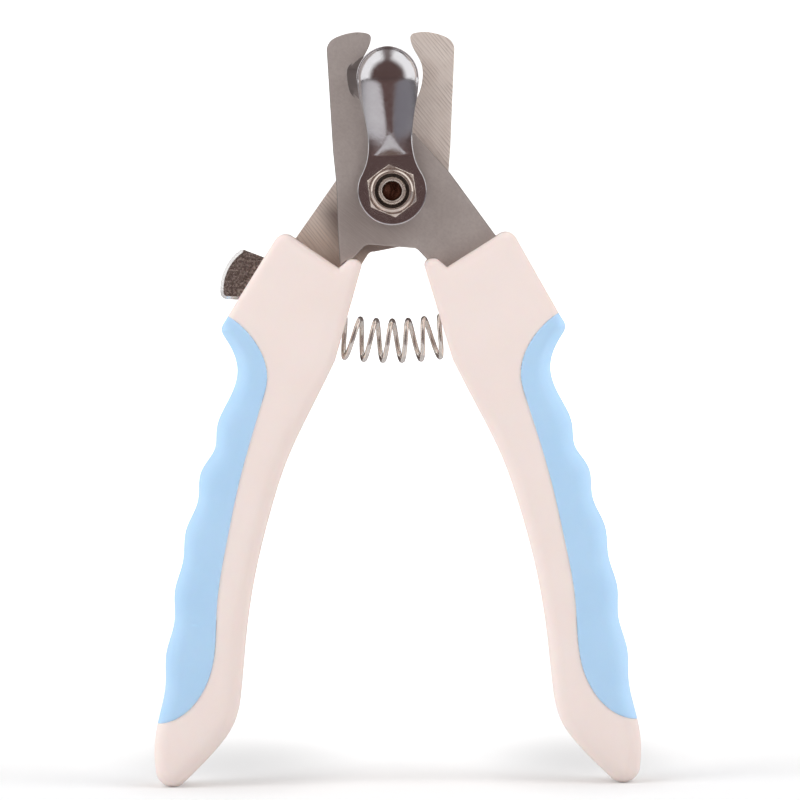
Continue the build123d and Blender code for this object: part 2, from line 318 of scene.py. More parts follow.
def shared_with(piece, node):
    """Keeps what a solid has in common with a CAD node, so its slots and sockets stay."""
    shape = welded(node)
    mesh = bpy.data.meshes.new("cutter")
    shape.to_mesh(mesh)
    shape.free()
    cutter = bpy.data.objects.new("cutter", mesh)
    bpy.context.scene.collection.objects.link(cutter)
    cut = piece.modifiers.new("cut", "BOOLEAN")
    cut.operation = "INTERSECT"
    cut.solver = "EXACT"
    cut.object = cutter
    state = bpy.context.evaluated_depsgraph_get()
    result = bpy.data.meshes.new_from_object(piece.evaluated_get(state))
    piece.modifiers.clear()
    piece.data = result
    bpy.data.objects.remove(cutter)


def dress(piece, finish, crease):
    """Scales a piece to metres, keeps its corners sharp above an angle and gives it a finish."""
    piece.data.transform(Matrix.Scale(MM, 4))
    piece.data.shade_smooth()
    piece.data.set_sharp_from_angle(angle=radians(crease))
    piece.data.materials.clear()
    piece.data.materials.append(materials[finish])


def place(piece, body, slot, finish, *nodes, crease=32):
    """Dresses a piece and lets it stand for its CAD nodes."""
    dress(piece, finish, crease)
    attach(piece, body)
    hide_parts(*nodes)


# ---------------------------------------------------------------- materials


class Nodes:
    """Shader nodes in one tree, made and joined by short calls."""

    def __init__(self, tree):
        self.tree = tree

    def node(self, kind, **settings):
        """A new node with its settings."""
        made = self.tree.nodes.new(kind)
        for key, value in settings.items():
            setattr(made, key, value)
        return made

    def parts(self, vector):
        """The X, Y and Z outputs of a vector."""
        made = self.node("ShaderNodeSeparateXYZ")
        self.tree.links.new(vector, made.inputs["Vector"])
        return made.outputs

    def ranged(self, value, low, high, out_low=0.0, out_high=1.0, curve="LINEAR"):
        """A value carried from one range to another."""
        made = self.node("ShaderNodeMapRange", interpolation_type=curve)
        made.inputs["From Min"].default_value = low
        made.inputs["From Max"].default_value = high
        made.inputs["To Min"].default_value = out_low
        made.inputs["To Max"].default_value = out_high
        self.tree.links.new(value, made.inputs["Value"])
        return made.outputs["Result"]

    def math(self, operation, first, second=0.0):
        """One arithmetic step between two values or numbers."""
        made = self.node("ShaderNodeMath", operation=operation)
        for socket, value in zip(made.inputs, (first, second)):
            if isinstance(value, (int, float)):
                socket.default_value = value
            else:
                self.tree.links.new(value, socket)
        return made.outputs["Value"]

    def square(self, value):
        """A value times itself."""
        return self.math("POWER", value, 2.0)

    def mix(self, share, first, second):
        """A colour between a first colour or output and a second colour, by a share from 0 to 1."""
        made = self.node("ShaderNodeMix", data_type="RGBA")
        if isinstance(first, tuple):
            made.inputs["A"].default_value = (*first, 1)
        else:
            self.tree.links.new(first, made.inputs["A"])
        made.inputs["B"].default_value = (*second, 1)
        self.tree.links.new(share, made.inputs["Factor"])
        return made.outputs["Result"]


class Finish(Nodes):
    """A node-based material whose patterns are laid out in millimetres."""

    def __init__(self, name, colour, roughness, metallic=0.0, **constants):
        self.material = bpy.data.materials.new(name)
        self.material.use_nodes = True
        super().__init__(self.material.node_tree)
        self.shader = self.tree.nodes["Principled BSDF"]
        self.shader.inputs["Base Color"].default_value = (*colour, 1)
        self.shader.inputs["Roughness"].default_value = roughness
        self.shader.inputs["Metallic"].default_value = metallic
        for socket, value in constants.items():
            self.shader.inputs[socket.replace("_", " ")].default_value = value

    def position(self, turn=0.0, stretch=(1, 1, 1)):
        """Object coordinates in millimetres, turned about Y and then stretched."""
        source = self.node("ShaderNodeTexCoord")
        rotated = self.node("ShaderNodeMapping")
        rotated.inputs["Rotation"].default_value = (0, radians(turn), 0)
        rotated.inputs["Scale"].default_value = (1 / MM,) * 3
        stretched = self.node("ShaderNodeMapping")
        stretched.inputs["Scale"].default_value = stretch
        self.tree.links.new(source.outputs["Object"], rotated.inputs["Vector"])
        self.tree.links.new(rotated.outputs["Vector"], stretched.inputs["Vector"])
        return stretched.outputs["Vector"]

    def axis(self, name):
        """One object coordinate in millimetres."""
        return self.parts(self.position())[name]

    def off_line(self, x, z):
        """The square of the distance from a line along Y, in square millimetres."""
        aside = self.math("SUBTRACT", self.axis("X"), float(x))
        above = self.math("SUBTRACT", self.axis("Z"), float(z))
        return self.math("ADD", self.square(aside), self.square(above))

    def turned(self, name):
        """How far the surface is turned towards one axis of the piece, from -1 to 1."""
        return self.parts(self.node("ShaderNodeTexCoord").outputs["Normal"])[name]

    def facing(self, name):
        """How squarely the surface faces along one axis of the piece, from 0 to 1."""
        return self.math("ABSOLUTE", self.turned(name))

    def noise(self, scale, detail, turn=0.0, stretch=(1, 1, 1)):
        """A noise pattern with features about 1 / scale millimetres across."""
        made = self.node("ShaderNodeTexNoise")
        made.inputs["Scale"].default_value = scale
        made.inputs["Detail"].default_value = detail
        self.tree.links.new(self.position(turn, stretch), made.inputs["Vector"])
        return made.outputs["Fac"]

    def hatch(self, spacing, turn):
        """Near-parallel scratches a given distance apart, from 0 to 1."""
        phase = self.math("MULTIPLY", self.parts(self.position(turn))["Z"], 2 * pi / spacing)
        wander = self.math("MULTIPLY", self.noise(0.5, 3, turn, (0.15, 1, 1.6)), 11.0)
        return self.ranged(self.math("SINE", self.math("ADD", phase, wander)), -1, 1)

    def blend(self, share, colour):
        """Mixes another colour into the base colour by a share from 0 to 1."""
        base = self.shader.inputs["Base Color"]
        under = base.links[0].from_socket if base.is_linked else tuple(base.default_value)[:3]
        self.tree.links.new(self.mix(share, under, colour), base)

    def rough(self, value, low, high):
        """Drives the roughness between two values."""
        self.tree.links.new(self.ranged(value, 0.3, 0.7, low, high), self.shader.inputs["Roughness"])

    def bump(self, value, relief_mm):
        """Adds relief of a given height in millimetres."""
        made = self.node("ShaderNodeBump")
        made.inputs["Strength"].default_value = 1.0
        made.inputs["Distance"].default_value = relief_mm * MM
        self.tree.links.new(value, made.inputs["Height"])
        normal = self.shader.inputs["Normal"]
        if normal.is_linked:
            self.tree.links.new(normal.links[0].from_socket, made.inputs["Normal"])
        self.tree.links.new(made.outputs["Normal"], normal)


def handle_plastic():
    """Pale warm moulded plastic with a fine grain, and painted shade where it faces +X."""
    scatter = {"Subsurface_Weight": 0.12, "Subsurface_Scale": 0.0012}
    made = Finish("handle_plastic", (0.93, 0.815, 0.775), 0.45, **scatter)
    made.blend(made.ranged(made.noise(0.09, 3), 0.35, 0.7, 0, 0.35), (0.89, 0.765, 0.71))
    # Painted shade: darker on the walls that face +X
    made.blend(made.ranged(made.turned("X"), 0.05, 0.7, 0, 0.5), (0.71, 0.60, 0.555))
    made.rough(made.noise(0.6, 3), 0.38, 0.52)
    made.bump(made.noise(9.0, 2), 0.012)
    made.bump(made.noise(0.35, 2), 0.03)
    return made.material


def grip_rubber():
    """Soft sky-blue thermoplastic rubber with a matt, faintly mottled skin."""
    scatter = {"Subsurface_Weight": 0.10, "Subsurface_Scale": 0.001}
    made = Finish("grip_rubber", (0.475, 0.71, 0.96), 0.55, **scatter)
    made.blend(made.ranged(made.noise(0.12, 3), 0.35, 0.7, 0, 0.5), (0.43, 0.67, 0.93))
    made.rough(made.noise(0.8, 3), 0.48, 0.64)
    made.bump(made.noise(7.0, 2), 0.014)
    made.bump(made.noise(0.4, 2), 0.04)
    return made.material


def satin_steel():
    """Stainless steel with a fine satin grain, painted shade below the pivot where the guard shades it,
    and painted shade on the ground slopes and the walls that face sideways.
    """
    made = Finish("satin_steel", (0.70, 0.645, 0.61), 0.42, 0.55)
    made.blend(made.ranged(made.noise(0.16, 4), 0.35, 0.7, 0, 0.6), (0.56, 0.50, 0.47))
    # Painted shade below and left of the pivot, where the guard shades the blade
    made.blend(made.ranged(made.off_line(-3.0, pivot_z - 5.0), 10, 75, 0.6, 0), (0.36, 0.295, 0.27))
    grain = made.noise(1.0, 4, turn=52, stretch=(9.0, 1, 0.35))
    made.blend(made.ranged(grain, 0.35, 0.65, 0, 0.35), (0.72, 0.66, 0.63))
    made.blend(made.ranged(made.noise(2.2, 5), 0.4, 0.7, 0, 0.35), (0.52, 0.46, 0.44))
    # Painted shade on the ground bevel and the walls that face sideways
    made.blend(made.ranged(made.facing("X"), 0.15, 0.35, 0, 0.9), (0.22, 0.185, 0.18))
    made.rough(made.noise(0.7, 4), 0.32, 0.44)
    made.bump(grain, 0.006)
    return made.material


def ground_steel():
    """Warm grey steel with coarse diagonal grinding lines, and painted shadow where the other blade
    shades it below the pivot.
    """
    made = Finish("ground_steel", (0.97, 0.88, 0.81), 0.40, 0.38)
    made.blend(made.ranged(made.axis("Z"), 104, 94, 0, 1), (0.76, 0.62, 0.52))
    made.blend(made.ranged(made.noise(0.25, 4), 0.4, 0.7, 0, 0.5), (0.80, 0.68, 0.60))
    lines = made.hatch(0.55, -51)
    fine = made.noise(1.0, 4, turn=-51, stretch=(0.25, 1, 9.0))
    patches = made.ranged(made.noise(0.3, 3), 0.35, 0.6, 0.25, 1)
    patches = made.math("MULTIPLY", patches, made.ranged(made.facing("Y"), 0.5, 0.9))
    scored = made.math("MULTIPLY", made.ranged(lines, 0.55, 0.95, 0, 0.55), patches)
    made.blend(scored, (0.50, 0.41, 0.36))
    made.blend(made.ranged(fine, 0.45, 0.7, 0, 0.4), (0.84, 0.76, 0.70))
    # Painted shadow of the front blade on the inner face, below the pivot
    inner_face = made.math("LESS_THAN", made.axis("Y"), float(mid_y + 0.3))
    below = made.ranged(made.axis("Z"), float(pivot_z - 1), float(pivot_z - 4))
    painted_blade_shadow = made.ranged(made.off_line(0, pivot_z), 120, 195, 0.8, 0)
    painted_blade_shadow = made.math("MULTIPLY", made.math("MULTIPLY", inner_face, below), painted_blade_shadow)
    made.blend(painted_blade_shadow, (0.26, 0.20, 0.18))
    made.rough(lines, 0.34, 0.44)
    made.bump(lines, 0.012)
    made.bump(fine, 0.006)
    return made.material


def guard_chrome():
    """Polished pressed steel with a faint orange-peel ripple and hairline scuffs."""
    made = Finish("guard_chrome", (0.80, 0.79, 0.81), 0.13, 1.0)
    made.blend(made.ranged(made.noise(0.3, 4), 0.4, 0.7, 0, 0.4), (0.68, 0.655, 0.67))
    made.rough(made.noise(0.9, 4), 0.10, 0.22)
    made.bump(made.noise(1.6, 3), 0.012)
    made.bump(made.noise(5.0, 3), 0.006)
    made.bump(made.noise(1.0, 4, turn=30, stretch=(8, 1, 0.5)), 0.0015)
    return made.material


def nut_chrome():
    """Bright zinc plating with a warm cast."""
    made = Finish("nut_chrome", (0.92, 0.82, 0.74), 0.16, 0.88)
    made.blend(made.ranged(made.noise(0.6, 4), 0.4, 0.7, 0, 0.5), (0.74, 0.62, 0.52))
    made.rough(made.noise(1.5, 4), 0.12, 0.26)
    made.bump(made.noise(2.2, 3), 0.012)
    return made.material


# Inside this radius the bolt's front end carries a painted dark reddish reflection
cup_r = 1.70


def bolt_steel():
    """Plated bolt, with a painted dull reddish reflection where the end is cupped."""
    made = Finish("bolt_steel", (0.92, 0.84, 0.76), 0.30, 0.80)
    made.blend(made.ranged(made.noise(0.8, 4), 0.4, 0.7, 0, 0.5), (0.74, 0.63, 0.54))
    # Painted dark reddish reflection in the cup at the bolt's front end
    cup = made.math("LESS_THAN", made.off_line(0, pivot_z), cup_r**2)
    front_end = made.math("LESS_THAN", made.axis("Y"), 0.0)
    made.blend(made.math("MULTIPLY", cup, front_end), (0.10, 0.035, 0.02))
    made.rough(made.noise(1.8, 4), 0.20, 0.36)
    made.bump(made.noise(1.2, 2), 0.006)
    return made.material


def plain_steel():
    """Bright turned steel for washers and pins."""
    made = Finish("plain_steel", (0.66, 0.63, 0.61), 0.28, 1.0)
    made.blend(made.ranged(made.noise(0.5, 4), 0.4, 0.7, 0, 0.5), (0.52, 0.49, 0.47))
    made.rough(made.noise(2.0, 4), 0.22, 0.38)
    made.bump(made.noise(4.0, 3), 0.006)
    return made.material


def locking_nylon():
    """Smoke-black nylon."""
    made = Finish("locking_nylon", (0.04, 0.028, 0.022), 0.35)
    made.blend(made.ranged(made.noise(1.2, 3), 0.4, 0.7, 0, 0.5), (0.08, 0.06, 0.05))
    made.rough(made.noise(2.0, 3), 0.28, 0.45)
    made.bump(made.noise(3.0, 3), 0.02)
    return made.material


def spring_wire():
    """Drawn spring wire with marks along its length."""
    made = Finish("spring_wire", (0.94, 0.89, 0.83), 0.24, 0.85)
    made.blend(made.ranged(made.noise(0.7, 4), 0.4, 0.7, 0, 0.5), (0.78, 0.71, 0.65))
    made.rough(made.noise(1.5, 4), 0.08, 0.20)
    made.bump(made.noise(1.8, 2), 0.006)
    return made.material


def lever_steel():
    """Bright steel round the rim; the flat faces are dark and finely stippled."""
    made = Finish("lever_steel", (0.90, 0.89, 0.88), 0.2, 0.8)
    made.blend(made.ranged(made.noise(0.7, 4), 0.4, 0.7, 0, 0.4), (0.74, 0.72, 0.70))
    flat = made.ranged(made.facing("Y"), 0.90, 0.97)
    stipple = made.noise(2.6, 2)
    made.blend(flat, (0.30, 0.235, 0.21))
    grains = made.math("MULTIPLY", flat, made.ranged(stipple, 0.46, 0.60, 0, 0.8))
    made.blend(grains, (0.80, 0.70, 0.64))
    made.rough(made.noise(1.5, 4), 0.18, 0.36)
    made.bump(stipple, 0.05)
    return made.material


materials = {
    make.__name__: make()
    for make in (
        handle_plastic,
        grip_rubber,
        satin_steel,
        ground_steel,
        guard_chrome,
        nut_chrome,
        bolt_steel,
        plain_steel,
        locking_nylon,
        spring_wire,
        lever_steel,
    )
}


def finish_cad_nodes():
    """The washers and pins that stay as CAD made them are plain steel."""
    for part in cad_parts.values():
        for k in range(len(part.data.materials)):
            part.data.materials[k] = materials["plain_steel"]


# ---------------------------------------------------------------- handles

shell_half = handle_half - 0.22
top_edge_r = 1.3
shell_edge_r = 2.6
grip_edge_r = 3.6
rim_inset = 0.03
crown_height = 0.30
crown_width = 4.5
lip_r = 0.5
lip_share = 0.4
groove_depth = 0.05
groove_half = 0.4
parting_depth = 0.10
parting_half = 0.02

# How far below the pivot the rim's radius starts and ends its change from the top's to the shells'
edge_change = (30, 42)

# How far into the grip its own rim radius is reached, and the crown fades out
grip_edge_reach = 4
grip_crown_fade = 3

# Rings and rows of mesh points: in from the rim, and beside the line where the grip starts
handle_rims = (0.06, 0.18, 0.38, 0.65, 1.0, 1.45, 2.0, 2.7, 3.6)
seam_rows = (-0.9, -0.6, -0.35, -0.15, 0, 0.15, 0.35, 0.6, 0.9)
seam_clear = 1.15
rim_clear = 0.3


def free_run(loop, other):
    """An outline started just before its stretch away from another one, and that stretch's count."""
    free = distance(loop, *segments([other])) > 0.02
    first = int(np.argmax(~free & np.roll(free, -1)))
    return np.roll(loop, -first, axis=0), int(free.sum())


def handle_outlines(side):
    """A handle's whole outline, its grip's outline, and the line where grip and shells meet."""
    front_y = mid_y - handle_half
    shell = outlines(f"{side}_front_shell", front_y)[0]
    grip = outlines(f"{side}_grip", front_y)[0]
    shell_run, shell_count = free_run(shell, grip)
    grip_run, grip_count = free_run(grip, shell)
    whole = np.vstack([shell_run[: shell_count + 1], grip_run[: grip_count + 1]])
    meeting = np.vstack([shell_run[shell_count + 1 :], shell_run[:1]])
    return whole, grip, meeting


def edge_drop(depth, radius):
    """How far a rounded rim lies below its face at a distance from the edge."""
    share = np.clip(depth, 0, radius)
    return radius - np.sqrt(np.maximum(radius**2 - (radius - share) ** 2, 0))


def handle_face(whole, meeting):
    """A handle's face, with rows of points beside the line where its grip starts."""
    inner = seeds([whole], handle_rims, 0.9)
    ahead = np.gradient(meeting, axis=0)
    ahead /= np.linalg.norm(ahead, axis=1)[:, None]
    across = np.column_stack([-ahead[:, 1], ahead[:, 0]])
    near_line = distance(inner, meeting[:-1], meeting[1:]) < seam_clear
    close_rim = distance(inner, *segments([whole])) < rim_clear
    rows = np.vstack([meeting + across * offset for offset in seam_rows])
    rows = rows[enclosed(rows, [whole])]
    rows = rows[distance(rows, *segments([whole])) > rim_clear]
    return filled([whole], np.vstack([inner[~near_line | close_rim], rows]))


def make_handle(side):
    """Two shell halves and the soft grip, crowned and rounded to the outline's edge."""
    whole, grip_loop, meeting = handle_outlines(side)
    whole = divided(whole + inward(whole) * rim_inset, 0.45)
    meeting = divided(meeting, 0.3, closed=False)
    face = handle_face(whole, meeting)
    flat = face[0]
    rim = distance(flat, *segments([whole]))
    line = distance(flat, meeting[:-1], meeting[1:])
    grip_side = np.where(enclosed(flat, [grip_loop]), line, -line)
    below = pivot_z - flat[:, 1]
    hard_r = top_edge_r + (shell_edge_r - top_edge_r) * smooth_step(below, *edge_change)
    soft_r = hard_r + (grip_edge_r - hard_r) * smooth_step(grip_side, 0, grip_edge_reach)
    crown = crown_height * (1 - smooth_step(rim, 0, crown_width))
    shell_top = shell_half - edge_drop(rim, soft_r) - crown
    shell_top -= groove_depth * (1 - smooth_step(line, 0, groove_half))
    grip_crown = crown * (1 - smooth_step(grip_side, 0, grip_crown_fade))
    grip_top = handle_half - edge_drop(rim, soft_r) - grip_crown
    grip_top -= edge_drop(line, lip_r) * lip_share
    parting = ((0, 0.5 - 2 * parting_half), (parting_depth, 0.5), (0, 0.5 + 2 * parting_half))
    for part in ("front_shell", "rear_shell"):
        shell = slab(f"{side}_{part}_body", face, mid_y - shell_top, mid_y + shell_top, parting)
        shared_with(shell, f"{side}_{part}")
        place(shell, f"{side}_half", "handle_plastic", "handle_plastic", f"{side}_{part}")
    grip = slab(f"{side}_grip_cover", face, mid_y - grip_top, mid_y + grip_top, ((0, 0.5),))
    shared_with(grip, f"{side}_grip")
    place(grip, f"{side}_half", "grip_rubber", "grip_rubber", f"{side}_grip")


# ---------------------------------------------------------------- blades

# Heights are above the pivot
notch_half = 6.6
notch_foot = 9.7
notch_top = 26.6
bevel_width = 2.1
bevel_depth = 1.75
bevel_starts = (13.5, 18.0)
bevel_ends = (20.6, 23.8)
arris_width = 0.14
arris_depth = 0.08
inner_arris_share = 0.4


def bevel_share(points):
    """How far the ground bevel is developed beside a point: it fades at both ends."""
    up = points[:, 1] - pivot_z
    return smooth_step(up, *bevel_starts) * (1 - smooth_step(up, *bevel_ends)) + 1e-3


def make_blade(node, body, finish, outer_sign):
    """One blade with its hollow-ground notch on the outer face and softened arrises."""
    low, high = depths(node)
    loops = [divided(loop, 0.4) for loop in outlines(node, low)]
    starts, ends = segments(loops)
    middle = (starts + ends) / 2
    notch = (np.abs(middle[:, 0]) < notch_half) & (middle[:, 1] > pivot_z + notch_foot)
    notch &= middle[:, 1] < pivot_z + notch_top
    outer = np.arange(len(starts)) < len(loops[0])
    on_notch = notch[: len(loops[0])]
    edge_points = loops[0][on_notch]
    into = inward(loops[0])[on_notch]
    reach = into * (bevel_width * bevel_share(edge_points))[:, None]
    rows = np.vstack([edge_points + reach * share for share in (0.25, 0.5, 0.75, 1.0)])
    rows = rows[enclosed(rows, loops)]
    rows = rows[distance(rows, starts, ends) > 0.05]
    inner = seeds(loops, (0.09, 0.22, 0.5), 0.9)
    clear = distance(inner, starts[notch], ends[notch]) > bevel_width + 0.3
    face = filled(loops, np.vstack([inner[clear], rows]))
    flat = face[0]
    notch_gap = distance(flat, starts[notch], ends[notch])
    rest_gap = distance(flat, starts[outer & ~notch], ends[outer & ~notch])
    ground = bevel_share(flat)
    bevel = np.clip(1 - notch_gap / (bevel_width * ground), 0, 1) * bevel_depth * ground
    arris = np.clip(1 - rest_gap / arris_width, 0, 1) * arris_depth
    outer_drop = np.maximum(bevel, arris)
    inner_drop = arris * inner_arris_share
    front = low + (outer_drop if outer_sign < 0 else inner_drop)
    back = high - (outer_drop if outer_sign > 0 else inner_drop)
    blade = slab(f"{node}_ground", face, front, back)
    place(blade, body, "blade_steel", finish, node, crease=14)


# ---------------------------------------------------------------- guard

guard_reach = 19.55
guard_lean = radians(1.7)
sheet_thickness = 1.0
dome_r = 5.0
dome_foot_r = 4.74
dome_spread = 1.075
neck_half = 3.65
neck_end = 7.5
ridge_foot = 6.0
ridge_foot_top = 0.68
ridge_foot_slope = 0.16
beak_end = 18.4
ridge_end_slope = 0.20
ridge_sharp_end = 9
ridge_soft_start = 16
ridge_round_start = 19
ramp_slope = 0.36
guard_wall = 0.25
guard_front_rim = 0.3
guard_back_rim = 0.15


def soft_least(first, second, softness):
    """The smaller of two heights, with the corner between them rounded."""
    return 0.5 * (first + second - np.sqrt((first - second) ** 2 + softness**2))


def cubic_rise(at, start, end):
    """A smooth curve between two (place, height, slope) ends."""
    (x0, h0, s0), (x1, h1, s1) = start, end
    t = np.clip((at - x0) / (x1 - x0), 0, 1)
    rise = h0 * (1 + 2 * t) * (1 - t) ** 2 + h1 * t**2 * (3 - 2 * t)
    return rise + (x1 - x0) * (s0 * t * (1 - t) ** 2 - s1 * t**2 * (1 - t))


def guard_height(along, across):
    """How far the pressing stands out from its flat base: a ramp, a ridged beak, a dome."""
    sunk = sqrt(dome_r**2 - dome_foot_r**2)
    wide = dome_foot_r * dome_spread
    beyond = np.clip(along - guard_reach, 0, wide) / dome_spread
    half = neck_half + (wide - neck_half) * smooth_step(along, neck_end, guard_reach)
    short = np.clip(guard_reach - along, 0, wide) / dome_spread
    ball_top = np.sqrt(dome_r**2 - short**2) - sunk
    end_short = (guard_reach - beak_end) / dome_spread
    end_top = sqrt(dome_r**2 - end_short**2) - sunk
    ridge_start = (ridge_foot, ridge_foot_top, ridge_foot_slope)
    ridge_top = cubic_rise(along, ridge_start, (beak_end, end_top, ridge_end_slope))
    top = np.where(along > beak_end, ball_top, ridge_top)
    share = np.clip(np.abs(across) / half, 0, 1)
    round_top = (np.sqrt(dome_r**2 - (dome_foot_r * share) ** 2) - sunk) / (dome_r - sunk)
    soft = 0.25 + 0.25 * smooth_step(along, ridge_sharp_end, ridge_soft_start)
    tent = 1 - (np.sqrt(share**2 + soft**2) - soft) / (np.sqrt(1 + soft**2) - soft)
    rounding = np.clip((along - ridge_sharp_end) / (ridge_round_start - ridge_sharp_end), 0, 1)
    section = tent + (round_top - tent) * rounding
    ball_share = (across / dome_spread) ** 2 + beyond**2
    ball = np.sqrt(np.maximum(dome_r**2 - ball_share, sunk**2)) - sunk
    beak = np.maximum(soft_least(top * section, ramp_slope * (along - ridge_foot), 0.1), 0)
    return np.where(along > guard_reach, ball, beak)


def make_guard():
    """The swinging guard: one thin pressing with a domed, beaked nose."""
    loops = [divided(loop, 0.3) for loop in outlines("guard", guard_back)]
    hole = min(loops[1:], key=lambda loop: np.linalg.norm(loop.mean(0) - (0, pivot_z)))
    loops = [loops[0], hole]
    face = filled(loops, seeds(loops, (0.06, 0.16, 0.30, 0.5), 0.3))
    flat = face[0]
    x, z = flat[:, 0], flat[:, 1] - pivot_z
    along = z * cos(guard_lean) - x * sin(guard_lean)
    across = x * cos(guard_lean) + z * sin(guard_lean)
    height = guard_height(along, across)
    rim = distance(flat, *segments(loops))
    front = guard_back - sheet_thickness - height + edge_drop(rim, guard_front_rim)
    hollow = np.maximum(height - guard_wall, 0) * smooth_step(rim, 0.3, 0.9)
    back = guard_back - hollow - edge_drop(rim, guard_back_rim)
    guard = slab("guard_pressing", face, front, back)
    place(guard, "guard_plate", "guard_chrome", "guard_chrome", "guard", crease=40)


# ---------------------------------------------------------------- nut and bolt

nut_hex_height = 3.7
collar_r = 3.7
lip_crest_r = 3.12
mouth_r = 2.98
collar_round = 0.65
mouth_round = 0.3
collar_foot = 0.05
well_depth = 1.45
hex_bevel_r = 4.05
hex_bevel_slope = tan(radians(30))
hex_edge_r = 0.08

# Rings of mesh points on the nut: in the mouth and over the lip, then out across the hexagon
mouth_rings = (2.62, 2.8, 2.93, 2.96, mouth_r, 3.0, 3.03, 3.07, lip_crest_r, 3.2, 3.3, 3.4, 3.5)
collar_rings = (3.58, 3.64, 3.68, collar_r, 3.72, 3.76, 3.82, 3.9, 3.98, hex_bevel_r)


def make_nut():
    """The hexagon lock nut, with its rolled collar and bevelled corners."""
    crest, base = depths("pivot_nut")
    hex_face = base - nut_hex_height
    loops = [divided(loop, 0.2) for loop in outlines("pivot_nut", base)[:2]]
    rings = np.vstack([circle_points(radius, 120) for radius in mouth_rings + collar_rings])
    rings = rings[distance(rings, *segments(loops)) > 0.04]
    rings = rings[enclosed(rings, loops)]
    rim = seeds(loops, (0.05, 0.12, 0.22), 0.25)
    rim = rim[pivot_distance(rim) > hex_bevel_r + 0.06]
    face = filled(loops, np.vstack([rings, rim]))
    radius = pivot_distance(face[0])
    edge = distance(face[0], *segments([loops[0]]))
    outer = np.clip((radius - lip_crest_r) / (collar_r - lip_crest_r), 0, 1)
    inner = np.clip((lip_crest_r - radius) / (lip_crest_r - mouth_r), 0, 1)
    lip = crest + collar_round * (1 - np.sqrt(1 - outer**2)) + mouth_round * (1 - np.sqrt(1 - inner**2))
    lip += (hex_face - collar_foot - lip) * smooth_step(radius, collar_r, collar_r + 0.05)
    bevel = np.maximum(radius - hex_bevel_r, 0) * hex_bevel_slope + edge_drop(edge, hex_edge_r)
    front = np.where(radius > collar_r + 0.03, hex_face + bevel, lip)
    front = np.where(radius < mouth_r - 0.01, crest + well_depth, front)
    nut = slab("pivot_nut_rolled", face, front, np.full(len(front), base))
    place(nut, "left_half", "nut_chrome", "nut_chrome", "pivot_nut", crease=28)


# The cup in the bolt's end, from its floor out to the rolled edge: (radius, depth behind the end)
cup_profile = ((0, 0.5), (1.6, 0.5), (1.68, 0.22), (1.76, 0.08), (1.88, 0.01))
bolt_crown_r = 2.02
bolt_edge_r = 2.40
bolt_end_round = 0.4
thread_start = 0.55
thread_pitch = 0.25
thread_turns = 5
thread_root_r = bolt_edge_r - 0.13
thread_crest_r = bolt_edge_r + 0.07
thread_rise = 0.12
shank_start = 1.9
shank_r = 2.47


def make_bolt():
    """The bolt, with its threaded end rounded over inside the nut's collar."""
    end, top = depths("pivot_bolt")
    seat = depths("head_washer")[1] - 0.1
    profile = [(radius, end + depth) for radius, depth in cup_profile]
    for k in range(9):
        turn = pi / 2 * k / 8
        radius = bolt_crown_r + (bolt_edge_r - bolt_crown_r) * sin(turn)
        profile.append((radius, end + bolt_end_round * (1 - cos(turn))))
    for k in range(thread_turns):
        depth = end + thread_start + thread_pitch * k
        profile += [(thread_root_r, depth), (thread_crest_r, depth + thread_rise)]
    outside_head = corner_mm("pivot_bolt", 1)[0] + 0.3
    profile += [(shank_r, end + shank_start), (shank_r, seat), (outside_head, seat)]
    profile += [(outside_head, top + 0.2), (0, top + 0.2)]
    bolt = lathe("pivot_bolt_turned", profile)
    shared_with(bolt, "pivot_bolt")
    place(bolt, "left_half", "bolt_steel", "bolt_steel", "pivot_bolt")


ring_outer_r = mouth_r - 0.03
ring_inner_r = 2.5
ring_recess = 0.6
ring_dish = 1.6


def make_locking_ring():
    """The nylon ring that shows between the nut's lip and the bolt."""
    low, high = depths("nut_locking_ring")
    loops = [circle_points(ring_outer_r, 96), circle_points(ring_inner_r, 96)[::-1]]
    middle = (ring_outer_r + ring_inner_r) / 2
    rings = np.vstack([circle_points(middle + offset, 96) for offset in (-0.16, -0.08, 0, 0.08, 0.16)])
    face = filled(loops, rings)
    front = low + ring_recess + ring_dish * (pivot_distance(face[0]) - middle) ** 2
    ring = slab("locking_ring_rounded", face, front, np.full(len(front), high))
    place(ring, "left_half", "locking_nylon", "locking_nylon", "nut_locking_ring")


# ---------------------------------------------------------------- return spring

spring_pitch = 3.03
spring_wire_r = 0.425
spring_sag = 0.8
spring_lift = 0.5
spring_phase = 0.5
spring_free_half = 9.0
spring_fan = 0.0265
points_per_turn = 48
wire_sides = 14


